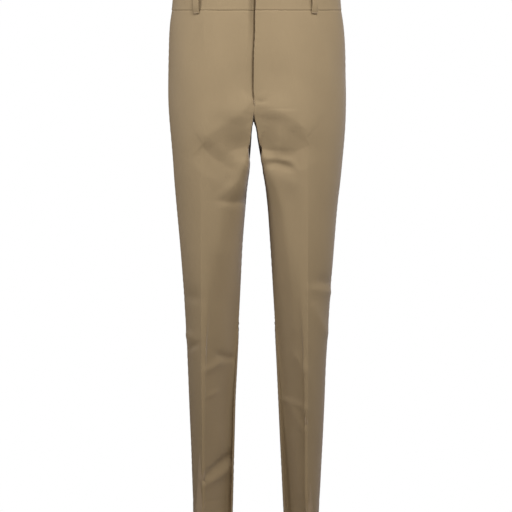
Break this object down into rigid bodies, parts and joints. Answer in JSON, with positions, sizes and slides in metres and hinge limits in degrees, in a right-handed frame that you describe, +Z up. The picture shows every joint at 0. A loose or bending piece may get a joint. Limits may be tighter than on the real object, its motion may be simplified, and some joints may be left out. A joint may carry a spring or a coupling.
{
  "type": "cigarette trousers, filled out with no wearer",
  "caption": "Slim, tapered, ankle-length trousers with a waistband, belt loops, a lapped zip fly and pressed creases, in the hollow form that they have when worn.",
  "frame": {"origin": "middle of the waistband's ring, half way up the band, where the wearer's waist holds the trousers up", "axes": "+Z up along the legs towards the waist, -Y towards the front, +X towards the wearer's left"},
  "size_m": [0.3581, 0.2538, 1.0788],
  "materials": {
    "khaki_twill": "matte smooth cotton twill",
    "zip_tape": "matte woven tape",
    "steel": "satin"
  },
  "bodies": {
    "root": {"front_left": "khaki_twill", "front_right": "khaki_twill", "back_left": "khaki_twill", "back_right": "khaki_twill", "waistband_left": "khaki_twill", "waistband_right": "khaki_twill", "fly_shield": "khaki_twill", "belt_loop_front_left": "khaki_twill", "belt_loop_front_right": "khaki_twill", "belt_loop_back_left": "khaki_twill", "belt_loop_back_right": "khaki_twill", "belt_loop_centre": "khaki_twill", "zip_tape_left": "zip_tape", "zip_tape_right": "zip_tape", "zip_slider": "steel", "zip_pull": "steel", "hook": "steel", "hook_bar": "steel"}
  },
  "joints": []
}
